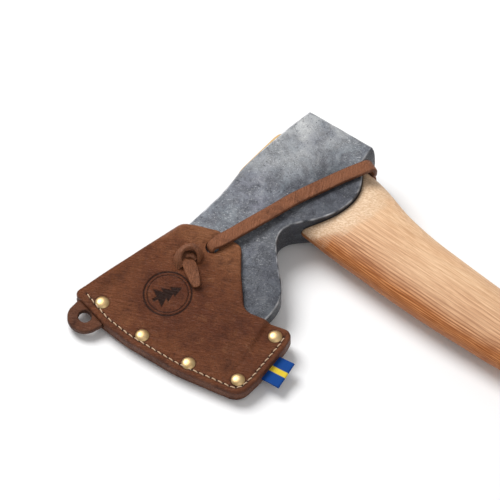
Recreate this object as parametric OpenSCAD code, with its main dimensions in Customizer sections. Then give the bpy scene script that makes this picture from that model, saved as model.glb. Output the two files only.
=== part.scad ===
// Felling axe lying on its side, with a riveted leather edge sheath strapped over the bit.
// Plan coordinates [a, b]: a runs from the poll's lower corner towards the handle's end, and b runs
// from the poll face towards the bit. The finished part is moved so that its origin is at the middle
// of its footprint, with +X towards the handle's end and -Y towards the bit.

/* [Head] */
// Height of the square poll face
poll_h = 48.8; // [45:0.2:52]
// Thickness of the head at the poll and the eye
head_t = 33; // [31:0.5:34]
// Distance from the poll face to the middle of the cutting edge
head_l = 187; // [186:0.5:188]
// Radius of the cutting edge
edge_r = 137; // [130:1:150]
// Radius of the eye's wide end, towards the poll
eye_back_r = 10.5; // [9.5:0.1:11]
// Radius of the eye's narrow end, towards the bit
eye_front_r = 8.5; // [7:0.1:9]

/* [Handle] */
// Distance from the poll's lower corner to the handle's end
handle_end = 642; // [600:1:700]
// How far the handle stands out above the eye
tenon_proud = 4; // [1:0.5:5]
// Diameter of the steel ring driven into the handle's end
ring_d = 12; // [10:0.5:13]

/* [Sheath] */
// Thickness of the sheath leather
leather_t = 3; // [2.5:0.1:3.4]
// Thickness of the welt between the two leather panels
welt_t = 4; // [3:0.5:5]
// Diameter of the domed rivet caps
rivet_d = 9.2; // [8:0.2:10]
// Diameter of the hole in the hanging tab
tab_hole_d = 8.6; // [6:0.2:10]
// Distance between stitches along the seam
stitch_pitch = 4.5; // [4:0.5:8]

/* [Strap] */
// Width of the strap
strap_w = 9; // [7:0.5:9.5]
// Thickness of the strap
strap_t = 3; // [2:0.2:3]

/* [Hidden] */
$fn = 64;

steel = [0.33, 0.36, 0.40];
ash_wood = [0.85, 0.68, 0.50];
wedge_wood = [0.72, 0.50, 0.30];
brown_leather = [0.47, 0.28, 0.18];
dark_leather = [0.36, 0.21, 0.14];
brass = [0.80, 0.68, 0.45];
thread = [0.90, 0.76, 0.62];
woven_blue = [0.10, 0.28, 0.58];

far = 400;                                  // half size of the cutting blocks
half_t = head_t / 2;
gap = 0.3;                                  // room between neighbours on different bodies
fit_gap = 0.15;                             // room round the handle's tenon in the eye
rim_half = welt_t / 2;                      // half the space between the panels at the rim
stack_half = rim_half + leather_t;          // half the height of the riveted rim

// Outline helpers

function unit(v) = v / norm(v);

function arc_between(c, r, w0, w1, n) =
  let (sweep = acos(min(1, max(-1, w0 * w1))))
  [for (k = [0:n]) c + r * (sin((1 - k / n) * sweep) * w0 + sin(k / n * sweep) * w1) / sin(sweep)];

// A corner [x, y, radius] between its two neighbours, as an arc
function round_corner(p, q, s, n) =
  let (here = [q.x, q.y], u = unit([p.x, p.y] - here), v = unit([s.x, s.y] - here))
  q[2] == 0 ? [here] :
  let (half = acos(u * v) / 2, c = here + unit(u + v) * q[2] / sin(half), d = q[2] / tan(half))
  arc_between(c, q[2], unit(here + u * d - c), unit(here + v * d - c), n);

// A closed outline from corners [x, y, radius]
function rounded(pts, n = 6) =
  let (m = len(pts))
  [for (i = [0:m - 1]) each round_corner(pts[(i + m - 1) % m], pts[i], pts[(i + 1) % m], n)];

// An open path from corners [x, y, radius]
function rounded_path(pts, n = 6) =
  let (m = len(pts))
  [
    [pts[0].x, pts[0].y],
    for (i = [1:m - 2]) each round_corner(pts[i - 1], pts[i], pts[i + 1], n),
    [pts[m - 1].x, pts[m - 1].y]
  ];

function spline_at(p, q, r, s, t) =
  0.5 * (2 * q + (r - p) * t + (2 * p - 5 * q + 4 * r - s) * t * t + (3 * q - p - 3 * r + s) * t * t * t);

// A smooth curve through the points, with n steps between neighbours
function smooth(pts, n) =
  let (m = len(pts))
  [
    for (i = [0:m - 2]) for (k = [0:n - 1])
      spline_at(pts[max(i - 1, 0)], pts[i], pts[i + 1], pts[min(i + 2, m - 1)], k / n),
    pts[m - 1]
  ];

// A strip of the given thickness that follows a path
function strip(path, t) =
  let (
    m = len(path),
    side = [for (i = [0:m - 1])
      let (
        before = unit(path[min(i + 1, m - 1)] - path[min(i, m - 2)]),
        after = unit(path[max(i, 1)] - path[max(i - 1, 0)]),
        way = unit(before + after)
      )
      [-way.y, way.x] / (way * after)]
  )
  concat(
    [for (i = [0:m - 1]) path[i] + side[i] * t / 2],
    [for (i = [m - 1:-1:0]) path[i] - side[i] * t / 2]
  );

function total_length(path) = len(path) < 2 ? 0 :
  let (steps = [for (i = [1:len(path) - 1]) norm(path[i] - path[i - 1])]) steps * [for (s = steps) 1];

// The place and direction at a distance along a path
function along(path, s, i = 0) =
  let (step = path[i + 1] - path[i], l = norm(step))
  s <= l || i >= len(path) - 2 ? [path[i] + step / l * s, step / l] : along(path, s - l, i + 1);

// Solids from outlines in the plan, and from profiles across it

module plan(pts, low, high)
  translate([0, 0, low]) linear_extrude(high - low) polygon([for (p = pts) [p.x, -p.y]]);

// A profile of [b, half height] that runs the whole length in a
module profile_along_a(pts)
  rotate([90, 0, 90]) linear_extrude(2 * far, center = true)
    polygon(concat([for (p = pts) [-p.x, p.y]], [for (i = [len(pts) - 1:-1:0]) [-pts[i].x, -pts[i].y]]));

// A profile of [a, half height] that runs the whole length in b
module profile_along_b(pts)
  rotate([90, 0, 0]) linear_extrude(2 * far, center = true)
    polygon(concat(pts, [for (i = [len(pts) - 1:-1:0]) [pts[i].x, -pts[i].y]]));

// Head

edge_centre = [-44, head_l - edge_r];
function on_edge(a) = [a, edge_centre.y + sqrt(edge_r * edge_r - pow(a - edge_centre.x, 2))];
toe = on_edge(-93);
heel = on_edge(-1);
edge_start = atan2(heel.y - edge_centre.y, heel.x - edge_centre.x);
edge_stop = atan2(toe.y - edge_centre.y, toe.x - edge_centre.x);

head_underside = smooth([
  [0.5, 13], [6.8, 22], [10.6, 31], [11.2, 41], [7.6, 53], [0.5, 63.5], [-9, 72.5], [-14.4, 79],
  [-15.8, 85.5], [-13.2, 92.5], [-5.5, 102.5], [4.6, 114], [9.8, 122.5], [11.2, 131], [10.4, 140],
  [8, 152], [4, 166], heel
], 4);
head_top = smooth([
  toe, [-87.3, 160], [-79.2, 138], [-70.6, 112], [-65.7, 91], [-63, 77], [-61.6, 61], [-59.4, 46],
  [-56.7, 32.5], [-53.5, 18], [-poll_h, 0]
], 4);
cutting_edge = [for (k = [1:15])
  let (turn = edge_start + (edge_stop - edge_start) * k / 16)
  edge_centre + edge_r * [cos(turn), sin(turn)]];
head_outline = concat([[0, 0]], head_underside, cutting_edge, head_top);

// Half the head's thickness along b
cheek_profile = [
  [-1, half_t - 2], [1, half_t], [58, half_t], [76, half_t - 2.9], [92, half_t - 5.9], [107, half_t - 7.9],
  [140, half_t - 11.3], [165, half_t - 13.6], [head_l + 4, half_t - 15.6]
];

eye_back = 27.5;                            // b of the eye's wide end
eye_front = 53.5;                           // b of the eye's narrow end

module eye_section(inset)
{
  rb = eye_back_r - inset;
  rf = eye_front_r - inset;
  lean = asin((rb - rf) / (eye_front - eye_back));
  translate([-eye_back, 0]) circle(rb);
  translate([-eye_front, 0]) circle(rf);
  polygon([
    [-eye_back - rb * sin(lean), rb * cos(lean)], [-eye_front - rf * sin(lean), rf * cos(lean)],
    [-eye_front - rf * sin(lean), -rf * cos(lean)], [-eye_back - rb * sin(lean), -rb * cos(lean)]
  ]);
}

module through_eye(inset)
  rotate([90, 0, 90]) linear_extrude(2 * far, center = true) eye_section(inset);

module bevel()
  translate([edge_centre.x, -edge_centre.y, 0]) rotate_extrude($fn = 128)
    polygon([[0, -far], [20, -far], [edge_r - 18, -2.7], [edge_r, -0.25],
             [edge_r, 0.25], [edge_r - 18, 2.7], [20, far], [0, far]]);

module axe_head()
  color(steel) difference()
  {
    intersection()
    {
      plan(head_outline, -half_t, half_t);
      profile_along_a(cheek_profile);
      bevel();
    }
    through_eye(0);
  }

// Handle

// [a, b of the back, b of the front, thickness]
handle_stations = [
  [-14, 12, 70.6, 24], [0, 10.8, 73, 25], [14, 13, 75, 25.6], [26, 16.6, 76.4, 25.8],
  [44, 23.2, 78.2, 25.6], [67, 28.6, 80.6, 25], [93, 32.2, 82.6, 24.6], [123, 35.8, 83.8, 24.2],
  [155, 39.2, 84.4, 24], [205, 41.4, 82, 23.6], [265, 38.5, 75.4, 23.3], [330, 31.4, 66.4, 23.3],
  [400, 24.5, 57.5, 23.6], [470, 19.5, 52.8, 24.2], [530, 17, 53, 25.8], [575, 16, 58, 28],
  [608, 18, 66, 30.4], [628, 22, 69.5, 30.6], [638, 27, 68.5, 27.5], [handle_end, 34, 64.5, 20]
];
handle_rings = smooth(handle_stations, 3);
ring_sides = 24;
roundness = 2.35;                           // exponent of the oval section

function power_of(x, p) = sign(x) * pow(abs(x), p);
function handle_ring(s) = [for (k = [0:ring_sides - 1])
  let (turn = 360 * k / ring_sides)
  [
    s[0],
    -(s[1] + s[2]) / 2 + (s[2] - s[1]) / 2 * power_of(cos(turn), 2 / roundness),
    s[3] / 2 * power_of(sin(turn), 2 / roundness)
  ]];

// A closed skin over rings that all have the same number of points
module skin(rings)
{
  n = len(rings[0]);
  m = len(rings);
  polyhedron(
    points = [for (ring = rings) each ring],
    faces = concat(
      [[for (k = [0:n - 1]) k]],
      [for (i = [0:m - 2]) for (k = [0:n - 1]) each [
        [i * n + k, (i + 1) * n + k, (i + 1) * n + (k + 1) % n],
        [i * n + k, (i + 1) * n + (k + 1) % n, i * n + (k + 1) % n]
      ]],
      [[for (k = [n - 1:-1:0]) (m - 1) * n + k]]
    )
  );
}

// The end of the tenon runs parallel to the head's top edge
tenon_plan = [[16, 14], [16, 64], [-61.8 - tenon_proud, 64], [-53.2 - tenon_proud, 14]];
kerf_depth = 38;
kerf_top = 2.6;                             // half width of the kerf at its mouth
kerf_bottom = 0.7;                          // half width of the kerf at its root
tenon_top = -59;                            // a of the tenon's end in the middle of the eye

module kerf(inset)
  profile_along_b([
    [tenon_top - 8, kerf_top - inset], [tenon_top, kerf_top - inset],
    [tenon_top + kerf_depth - inset, kerf_bottom - inset]
  ]);

ring_wall = 1.5;
ring_depth = 14;
ring_at = 33;                               // b of the ring's axis

module ring_place()
  translate([tenon_top - 1.5, -ring_at, 0]) rotate([0, 90, 0]) children();

module ring_groove()
  ring_place() translate([0, 0, -10]) difference()
  {
    cylinder(d = ring_d, h = ring_depth + 10);
    translate([0, 0, -1]) cylinder(d = ring_d - 2 * ring_wall, h = ring_depth + 12);
  }

module tenon()
  difference()
  {
    intersection()
    {
      through_eye(fit_gap);
      plan(tenon_plan, -half_t, half_t);
    }
    kerf(0);
    ring_groove();
  }

module handle()
  color(ash_wood) union()
  {
    difference()
    {
      skin([for (s = handle_rings) handle_ring(s)]);
      translate([0.4, 0, 0]) plan(head_outline, -head_t, head_t);
      translate([-far, -far, -far]) cube([far - 11, 2 * far, 2 * far]);
    }
    tenon();
  }

module wood_wedge()
  color(wedge_wood) difference()
  {
    intersection()
    {
      through_eye(fit_gap);
      plan(tenon_plan, -half_t, half_t);
      kerf(0.05);
    }
    ring_groove();
  }

module ring_wedge()
  color(steel) ring_place() difference()
  {
    cylinder(d = ring_d - 0.1, h = ring_depth - 0.1);
    translate([0, 0, -1]) cylinder(d = ring_d - 2 * ring_wall + 0.1, h = ring_depth + 2);
  }

// Sheath

fold_top = [-75.8, 113.6];
fold_bottom = [-104.7, 192.4];
sheath_outline = rounded([
  concat(fold_top, 3), [-64, 109.4, 14], [-50, 105, 10], [-31, 106.8, 5], [-20, 123.7, 60],
  [-4, 144.2, 9], [14, 141.6, 40], [30.8, 137.8, 6], [32.2, 150, 30], [30.8, 180, 30],
  [28, 197.5, 11], [-18, 203.6, 90], [-56, 203.3, 60], [-77, 200.6, 40], concat(fold_bottom, 4)
]);
fold_way = unit(fold_bottom - fold_top);
into_sheath = [fold_way.y, -fold_way.x];
inner_fold_top = fold_top + into_sheath * leather_t - fold_way * 40;
inner_fold_bottom = fold_bottom + into_sheath * leather_t - fold_way * 2;

// Half the space between the panels, along b and then along a at the heel side
space_by_b = [[60, 13.7], [107, 9.2], [183, rim_half], [260, rim_half]];
space_by_a = [[-200, 30], [5, 12], [10.5, 6.6], [15, rim_half], [80, rim_half]];
// The round of the fold, as half heights at distances from its outer line
fold_inside = [[leather_t, 3], [3.4, 6.2], [4, 8.8], [8, 10.8], [14, 16], [200, 30]];
fold_outside = [[0, 4], [1.2, 7.6], [3.2, 10.4], [7, 12.8], [14, 20], [200, 33]];

function thicker(profile, t) = [for (p = profile) [p.x, p.y + t]];

module profile_along_fold(pts)
  translate([fold_top.x, -fold_top.y, 0]) rotate([0, 0, -atan2(into_sheath.y, into_sheath.x)])
    profile_along_b(pts);

module between_panels()
  intersection()
  {
    plan([inner_fold_top, [60, 60], [60, 230], [inner_fold_bottom.x, 230], inner_fold_bottom], -30, 30);
    profile_along_a(space_by_b);
    profile_along_b(space_by_a);
    profile_along_fold(fold_inside);
  }

rivets = [[-85, 188.6], [-49.7, 194.7], [-13.3, 195.4], [20.2, 187.9], [22.4, 147.7]];
rivet_post_r = 1.5;
rivet_hole_r = 1.6;

module rivet_holes()
  for (r = rivets) translate([r.x, -r.y, -far / 2]) cylinder(r = rivet_hole_r, h = far);

// Where the strap goes through both panels
strap_hole = [-46.6, 117.4];
strap_hole_r = 5;
knot_at = [-53.5, 134];
knot_stem_r = 2.6;

module sheath_leather()
  color(brown_leather) difference()
  {
    intersection()
    {
      plan(sheath_outline, -30, 30);
      profile_along_a(thicker(space_by_b, leather_t));
      profile_along_b(thicker(space_by_a, leather_t));
      profile_along_fold(fold_outside);
    }
    between_panels();
    rivet_holes();
    translate([strap_hole.x, -strap_hole.y, -30]) cylinder(r = strap_hole_r, h = 60);
    translate([knot_at.x, -knot_at.y, 0]) cylinder(r = knot_stem_r + 0.1, h = 30);
  }

welt_inner = rounded([
  [-101.5, 182, 0], [-97, 178.5, 3], [-77, 187, 20], [-50, 189.8, 60], [-14, 190.2, 60],
  [9, 185, 12], [15.6, 170, 20], [15.6, 90, 0], [-101.5, 90, 0]
]);

tab_hole = [-89.6, 201.9];
tab_r = 11.5;
tab_neck = [
  [-101.1, 201.9], [-79.5, 207.3], [-75.5, 200], [-79, 186], [-92, 182.5], [-98, 186.5], [-100.2, 191.5]
];

module tab_body()
{
  translate([tab_hole.x, -tab_hole.y, -rim_half]) cylinder(r = tab_r, h = welt_t);
  plan(tab_neck, -rim_half, rim_half);
}

module hanging_tab()
  color(dark_leather) difference()
  {
    tab_body();
    translate([tab_hole.x, -tab_hole.y, -10]) cylinder(d = tab_hole_d, h = 20);
    rivet_holes();
  }

label_size = [17.5, 20.5, 1];
label_at = [26.5, 177];
label_turn = 3;

module label_block(grow)
  translate([label_at.x, -label_at.y, -label_size.z / 2 - grow]) rotate([0, 0, label_turn])
    cube(label_size + [0, 0, 2 * grow]);

module label_tag()
  color(woven_blue) label_block(0);

module edge_welt()
  color(dark_leather) difference()
  {
    intersection()
    {
      plan(sheath_outline, -30, 30);
      between_panels();
    }
    plan(welt_inner, -30, 30);
    tab_body();
    rivet_holes();
    label_block(0.05);
  }

cap_h = 1.7;

module dome(d, h)
{
  r = (d * d / 4 + h * h) / (2 * h);
  rotate_extrude() intersection()
  {
    translate([0, h - r]) circle(r, $fn = 160);
    square([d, h]);
  }
}

module rivet_cap(i)
  color(brass) translate([rivets[i - 1].x, -rivets[i - 1].y, 0])
  {
    translate([0, 0, stack_half]) dome(rivet_d, cap_h);
    translate([0, 0, -stack_half]) cylinder(r = rivet_post_r, h = 2 * stack_half + 0.2);
  }

module rivet_base(i)
  color(brass) translate([rivets[i - 1].x, -rivets[i - 1].y, -stack_half]) mirror([0, 0, 1])
    dome(rivet_d, cap_h * 0.7);

// The seam runs 4 mm inside the rim, from the fold along the bottom and up the heel side
seam = rounded_path([
  [-97, 188.8, 0], [-75.5, 196.6, 40], [-56, 199.2, 60], [-18, 199.5, 90], [24.6, 194, 8],
  [26.8, 180, 30], [28.2, 150, 30], [27.2, 142.2, 0]
]);
stitch_l = 3;
stitch_w = 0.9;
stitch_h = 0.5;

module stitching()
  for (k = [0:floor(total_length(seam) / stitch_pitch)])
  {
    place = along(seam, k * stitch_pitch);
    hit = min([for (r = rivets) norm(place[0] - r)]);
    if (hit > rivet_d / 2 + stitch_l / 2)
      translate([place[0].x, -place[0].y, stack_half + stitch_h / 2])
        rotate([0, 0, -atan2(place[1].y, place[1].x)])
          cube([stitch_l, stitch_w, stitch_h], center = true);
  }

module front_stitching()
  color(thread) stitching();

module back_stitching()
  color(thread) mirror([0, 0, 1]) stitching();

// Strap

strap_way = [0.431, 0.902];                 // direction in X and Y from the hole to the bend
arm_mid = half_t + gap + strap_t / 2;       // height of the strap's middle over the cheek
bend_at = 121.3;                            // distance from the hole to the middle of the bend
strap_side = [
  [0, 8.4, 0], [0, 13.3, 2], [14, 14.2, 20], [60, arm_mid, 30], [bend_at, arm_mid, 3.5]
];
strap_path = rounded_path(concat(
  strap_side,
  [for (i = [len(strap_side) - 1:-1:0]) [strap_side[i].x, -strap_side[i].y, strap_side[i][2]]]
));

module strap()
  color(brown_leather) translate([strap_hole.x, -strap_hole.y, 0])
    rotate([0, 0, atan2(strap_way.y, strap_way.x)]) rotate([90, 0, 0])
      linear_extrude(strap_w, center = true) polygon(strip(strap_path, strap_t));

knot_low = 10.1;                            // lower face of the knot, over the front panel
knot_high = 17.6;
tail_high = 13.4;
knot_outline = rounded([[-61, 127, 4], [-46.6, 128.6, 4], [-46, 139.5, 5], [-60, 142, 5]]);
tail_outline = rounded([[-57.5, 136, 0], [-47, 134, 0], [-37, 146.5, 3.2], [-39, 151.5, 3], [-47.5, 148.5, 8]]);

module strap_knot()
  color(dark_leather)
  {
    plan(knot_outline, knot_low, knot_high);
    plan(tail_outline, knot_low, tail_high);
    translate([knot_at.x, -knot_at.y, knot_low - 3]) cylinder(r = knot_stem_r, h = 4);
  }

// The whole part stands on the lower strap arm, with its footprint centred on the origin
lowest = arm_mid + strap_t / 2;
a_low = min([for (p = sheath_outline) p.x]);
b_high = tab_hole.y + tab_r;

module placed()
  translate([-(a_low + handle_end) / 2, b_high / 2, lowest]) children();

placed() axe_head();
placed() handle();
placed() wood_wedge();
placed() ring_wedge();
placed() sheath_leather();
placed() edge_welt();
placed() hanging_tab();
placed() rivet_cap(1);  // rivet_cap_1
placed() rivet_cap(2);  // rivet_cap_2
placed() rivet_cap(3);  // rivet_cap_3
placed() rivet_cap(4);  // rivet_cap_4
placed() rivet_cap(5);  // rivet_cap_5
placed() rivet_base(1);  // rivet_base_1
placed() rivet_base(2);  // rivet_base_2
placed() rivet_base(3);  // rivet_base_3
placed() rivet_base(4);  // rivet_base_4
placed() rivet_base(5);  // rivet_base_5
placed() front_stitching();
placed() back_stitching();
placed() strap();
placed() strap_knot();
placed() label_tag();
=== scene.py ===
import math

import bmesh
import bpy
import numpy as np
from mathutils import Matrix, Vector, noise
from mathutils.geometry import delaunay_2d_cdt


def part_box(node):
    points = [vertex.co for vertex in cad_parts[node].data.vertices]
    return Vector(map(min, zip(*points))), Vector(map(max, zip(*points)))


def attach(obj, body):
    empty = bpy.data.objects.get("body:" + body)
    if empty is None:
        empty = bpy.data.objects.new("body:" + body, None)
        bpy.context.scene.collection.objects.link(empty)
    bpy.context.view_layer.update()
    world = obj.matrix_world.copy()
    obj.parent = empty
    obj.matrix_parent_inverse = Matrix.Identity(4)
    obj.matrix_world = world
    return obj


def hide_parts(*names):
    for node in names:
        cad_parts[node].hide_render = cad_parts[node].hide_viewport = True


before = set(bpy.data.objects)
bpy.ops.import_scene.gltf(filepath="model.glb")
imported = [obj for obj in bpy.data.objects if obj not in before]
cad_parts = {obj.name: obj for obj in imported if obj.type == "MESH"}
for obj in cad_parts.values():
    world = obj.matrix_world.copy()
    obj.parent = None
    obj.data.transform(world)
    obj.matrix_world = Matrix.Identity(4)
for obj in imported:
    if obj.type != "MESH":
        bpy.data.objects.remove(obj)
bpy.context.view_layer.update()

# The felling axe's visible pieces, built round the CAD frame.
# Plan coordinates are millimetres [a, b] from the poll's lower corner: a runs towards the handle's end,
# b towards the bit. Heights are millimetres above the head's middle plane.

MM = 0.001
HANDLE_END = 642.0
HALF_T = 16.5
HEAD_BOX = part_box("axe_head")
ORIGIN = np.array([
    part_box("handle")[1].x - HANDLE_END * MM,
    HEAD_BOX[1].y,
    (HEAD_BOX[0].z + HEAD_BOX[1].z) / 2,
])


def place(points):
    """Plan points and heights [a, b, z] in millimetres, as metres in the frame."""
    p = np.asarray(points, float).reshape(-1, 3)
    return ORIGIN + p * np.array([1, -1, 1]) * MM


def plan_of(corner):
    """A frame position in metres, as [a, b, z] in millimetres."""
    return (np.array(corner) - ORIGIN) * np.array([1, -1, 1]) / MM


# ---------------------------------------------------------------- curves in the plan

def unit(v):
    """Unit vectors along the last axis."""
    return v / np.linalg.norm(v, axis=-1, keepdims=True)


def at_height(points, z):
    """Plan points with a height, or one height each, as [a, b, z]."""
    return np.column_stack([points, np.broadcast_to(z, len(points))])


def round_corner(before, corner, after, radius, step):
    """The arc of the given radius at a corner, as points about a step apart."""
    u, v = unit(before - corner), unit(after - corner)
    half = math.acos(np.clip(u @ v, -1, 1)) / 2
    if radius == 0 or half > math.radians(89.5):
        return [corner]
    centre = corner + unit(u + v) * radius / math.sin(half)
    start = unit(corner + u * radius / math.tan(half) - centre)
    stop = unit(corner + v * radius / math.tan(half) - centre)
    sweep = math.acos(np.clip(start @ stop, -1, 1))
    n = max(2, int(radius * sweep / step))
    return [
        centre + radius * (math.sin((1 - k / n) * sweep) * start + math.sin(k / n * sweep) * stop)
        / math.sin(sweep)
        for k in range(n + 1)
    ]


def rounded(corners, step=1.0, closed=True):
    """An outline through corners [a, b, radius], with arcs at the corners."""
    spots = [np.array(c[:2], float) for c in corners]
    m = len(corners)
    points = []
    for i, c in enumerate(corners):
        if not closed and i in (0, m - 1):
            points.append(spots[i])
        else:
            points += round_corner(spots[i - 1], spots[i], spots[(i + 1) % m], c[2], step)
    return np.array(points)


def smooth(points, steps):
    """A smooth curve through the points, with some steps between neighbours."""
    p = np.array(points, float)
    m = len(p)
    out = []
    for i in range(m - 1):
        p0, p1, p2, p3 = p[max(i - 1, 0)], p[i], p[i + 1], p[min(i + 2, m - 1)]
        for k in range(steps):
            t = k / steps
            out.append(0.5 * (2 * p1 + (p2 - p0) * t + (2 * p0 - 5 * p1 + 4 * p2 - p3) * t * t
                              + (3 * p1 - p0 - 3 * p2 + p3) * t ** 3))
    out.append(p[-1])
    return np.array(out)


def lengths_along(path):
    return np.concatenate([[0], np.cumsum(np.linalg.norm(np.diff(path, axis=0), axis=1))])


def evenly(path, step, closed=False):
    """The path with its points set evenly, about a step apart."""
    if closed:
        path = np.vstack([path, path[:1]])
    s = lengths_along(path)
    n = max(3, int(round(s[-1] / step)))
    at = np.linspace(0, s[-1], n + 1)
    out = np.column_stack([np.interp(at, s, path[:, k]) for k in range(path.shape[1])])
    return out[:-1] if closed else out


def turned_left(ways):
    return np.column_stack([-ways[:, 1], ways[:, 0]])


def side_of(path, closed=False):
    """Unit normals to the left of a path."""
    if closed:
        way = np.roll(path, -1, axis=0) - np.roll(path, 1, axis=0)
    else:
        way = np.gradient(path, axis=0)
    return turned_left(unit(way))


def distance_to(points, path, closed=False):
    """Distance from each point to a path, and how far along the path the nearest place is."""
    a = path
    b = np.roll(path, -1, axis=0) if closed else path[1:]
    a = a if closed else path[:-1]
    s0 = lengths_along(np.vstack([path, path[:1]]) if closed else path)[: len(a)]
    best = np.full(len(points), 1e9)
    where = np.zeros(len(points))
    for p, q, s in zip(a, b, s0):
        d = q - p
        l2 = d @ d
        if l2 == 0:
            continue
        t = share(((points - p) @ d) / l2)
        gap = np.linalg.norm(points - p - t[:, None] * d, axis=1)
        near = gap < best
        best[near] = gap[near]
        where[near] = s + t[near] * math.sqrt(l2)
    return best, where


def inside(points, outline):
    """Which points are inside a closed outline."""
    x, y = points[:, 0], points[:, 1]
    hit = np.zeros(len(points), bool)
    for (x0, y0), (x1, y1) in zip(outline, np.roll(outline, -1, axis=0)):
        if y0 == y1:
            continue
        crosses = (y0 > y) != (y1 > y)
        hit ^= crosses & (x < (x1 - x0) * (y - y0) / (y1 - y0) + x0)
    return hit


def inward_of(outline):
    """Unit normals of a closed outline, towards its inside."""
    side = side_of(outline, closed=True)
    return side if inside(outline[:1] + side[:1] * 0.3, outline)[0] else -side


def grid_in(outline, spacing, margin, keep=None):
    """A staggered grid of points inside an outline and at least a margin from it."""
    lo, hi = outline.min(0), outline.max(0)
    rows = np.arange(lo[1], hi[1], spacing * 0.866)
    points = np.array([
        [x, y] for k, y in enumerate(rows)
        for x in np.arange(lo[0] + (k % 2) * spacing / 2, hi[0], spacing)
    ])
    points = points[inside(points, outline)]
    if keep is not None:
        points = points[keep(points)]
    return points[distance_to(points, outline, closed=True)[0] > margin]


def triangulate(outline, holes, extra):
    """Points and triangles of a plan region with holes. The outlines' points come first."""
    loops = [outline, *holes]
    points = np.vstack([*loops, extra])
    edges = []
    start = 0
    for loop in loops:
        n = len(loop)
        edges += [(start + i, start + (i + 1) % n) for i in range(n)]
        start += n
    out = delaunay_2d_cdt([Vector(p) for p in points], edges, [], 0, 1e-7)
    verts = np.array([list(v) for v in out[0]])
    tris = np.array([list(f) for f in out[2]])
    middle = verts[tris].mean(axis=1)
    keep = inside(middle, outline)
    for hole in holes:
        keep &= ~inside(middle, hole)
    return verts, tris[keep]


# ---------------------------------------------------------------- meshes

class Skin:
    """Collects points, faces and a few point attributes into one mesh."""

    def __init__(self):
        self.points, self.faces, self.marks = [], [], {}
        self.count = 0

    def add(self, points, faces, **marks):
        points = np.asarray(points, float).reshape(-1, 3)
        self.points.append(points)
        self.faces += [[int(i) + self.count for i in f] for f in faces]
        for name, values in marks.items():
            rows = self.marks.setdefault(name, [])
            rows.append(np.zeros(self.count - sum(map(len, rows))))
            rows.append(np.broadcast_to(np.asarray(values, float), len(points)))
        self.count += len(points)

    def block(self, low, high):
        """A closed block between two flat ends of equally many points."""
        n = len(low)
        ends = [list(range(n - 1, -1, -1)), list(range(n, 2 * n))]
        sides = [(i, (i + 1) % n, n + (i + 1) % n, n + i) for i in range(n)]
        self.add(np.vstack([low, high]), ends + sides)
        return self

    def strip(self, rows, closed=False, **marks):
        """Quads between rows of equally many points."""
        n = len(rows[0])
        last = n if closed else n - 1
        faces = [
            (r * n + i, r * n + (i + 1) % n, (r + 1) * n + (i + 1) % n, (r + 1) * n + i)
            for r in range(len(rows) - 1) for i in range(last)
        ]
        self.add(np.vstack(rows), faces, **marks)

    def object(self, name, material, merge=1e-4, sharp=40):
        mesh = bpy.data.meshes.new(name)
        mesh.from_pydata(place(np.vstack(self.points)).tolist(), [], self.faces)
        for mark, rows in self.marks.items():
            values = np.concatenate(rows)
            values = np.concatenate([values, np.zeros(self.count - len(values))])
            layer = mesh.attributes.new(mark, "FLOAT", "POINT")
            layer.data.foreach_set("value", values.astype(np.float32))
        clean(mesh, merge)
        obj = bpy.data.objects.new(name, mesh)
        bpy.context.scene.collection.objects.link(obj)
        dress(obj, material, sharp)
        return obj


def clean(mesh, merge):
    """Joins points that meet, drops faces without area, and turns every face outwards."""
    bm = bmesh.new()
    bm.from_mesh(mesh)
    bmesh.ops.remove_doubles(bm, verts=bm.verts, dist=merge * MM)
    bmesh.ops.dissolve_degenerate(bm, edges=bm.edges, dist=merge * MM / 2)
    bmesh.ops.delete(bm, geom=[v for v in bm.verts if not v.link_faces], context="VERTS")
    bmesh.ops.recalc_face_normals(bm, faces=bm.faces)
    bm.to_mesh(mesh)
    bm.free()


def dress(obj, material, sharp=40):
    obj.data.materials.clear()
    obj.data.materials.append(material)
    obj.data.shade_smooth()
    obj.data.set_sharp_from_angle(angle=math.radians(sharp))


def cut(obj, cutter, operation="DIFFERENCE"):
    """Applies a boolean with another object, and removes that object."""
    modifier = obj.modifiers.new("cut", "BOOLEAN")
    modifier.object = cutter
    modifier.operation = operation
    modifier.solver = "EXACT"
    made = bpy.data.meshes.new_from_object(
        obj.evaluated_get(bpy.context.evaluated_depsgraph_get()))
    obj.modifiers.clear()
    old = obj.data
    obj.data = made
    bpy.data.meshes.remove(old)
    bpy.data.meshes.remove(cutter.data)


def prism(name, outline, low, high, material):
    """A closed block with a plan outline."""
    ends = [at_height(outline, z) for z in (low, high)]
    return Skin().block(*ends).object(name, material)


def bar(name, section, a_low, a_high, material):
    """A closed block that runs along a, with a section of [b, z] points."""
    ends = [np.insert(section, 0, a, axis=1) for a in (a_low, a_high)]
    return Skin().block(*ends).object(name, material)


def wobble(points, size, seed, octaves=2):
    """Smooth noise from about -1 to 1 at points [a, b, z], with features of a size in millimetres."""
    shift = Vector((seed * 17.3, seed * 9.1, seed * 5.7))
    return np.array([
        noise.fractal(Vector(p) / size + shift, 1.0, 2.0, octaves, noise_basis="PERLIN_ORIGINAL")
        for p in np.asarray(points, float)
    ])


def bell(x, width):
    return np.exp(-(np.asarray(x) / width) ** 2)


def share(x):
    """Values held between 0 and 1."""
    return np.clip(x, 0, 1)


def boxy(x, power):
    """A cosine or sine, squared off for a superellipse."""
    return np.sign(x) * np.abs(x) ** (2 / power)


def rim_drop(radius, gap):
    """How far a rounded rim falls below its face, at a gap from the edge."""
    t = np.clip(radius - gap, 0, None)
    return radius - np.sqrt(np.clip(radius ** 2 - t ** 2, 0, None))


def softest(values, k):
    """A smooth minimum of several arrays."""
    stack = np.stack(values)
    low = stack.min(0)
    return low - k * np.log(np.exp(-(stack - low) / k).sum(0))


# ---------------------------------------------------------------- materials

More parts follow.
